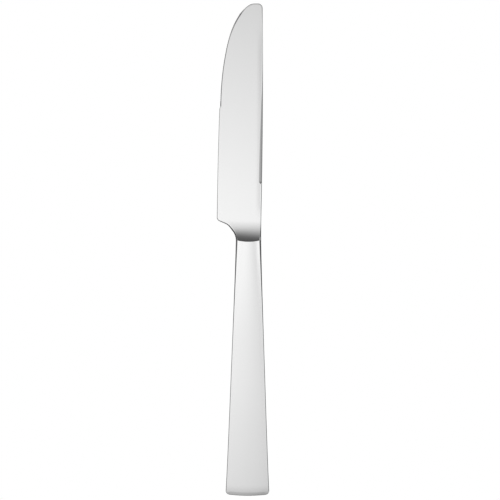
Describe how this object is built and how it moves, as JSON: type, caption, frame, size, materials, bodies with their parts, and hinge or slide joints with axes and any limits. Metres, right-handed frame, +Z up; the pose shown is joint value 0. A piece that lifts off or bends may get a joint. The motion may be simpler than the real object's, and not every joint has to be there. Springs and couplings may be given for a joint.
{
  "type": "table knife",
  "caption": "Polished steel table knife with a rounded blade, a hollow neck and a flat hollow handle that widens to the butt.",
  "frame": {"origin": "on the plane the knife lies on, under the middle of the handle and on its centreline", "axes": "+Y along the knife from butt to tip, -X toward the cutting edge, +Z up out of the blade's face"},
  "size_m": [0.026, 0.24, 0.008],
  "materials": {
    "blade_steel": "polished",
    "handle_steel": "polished",
    "weld_metal": "satin",
    "cement": "matte"
  },
  "bodies": {
    "root": {"blade": "blade_steel", "handle_front_shell": "handle_steel", "handle_back_shell": "handle_steel", "seam_weld": "weld_metal", "tang_cement": "cement"}
  },
  "joints": []
}
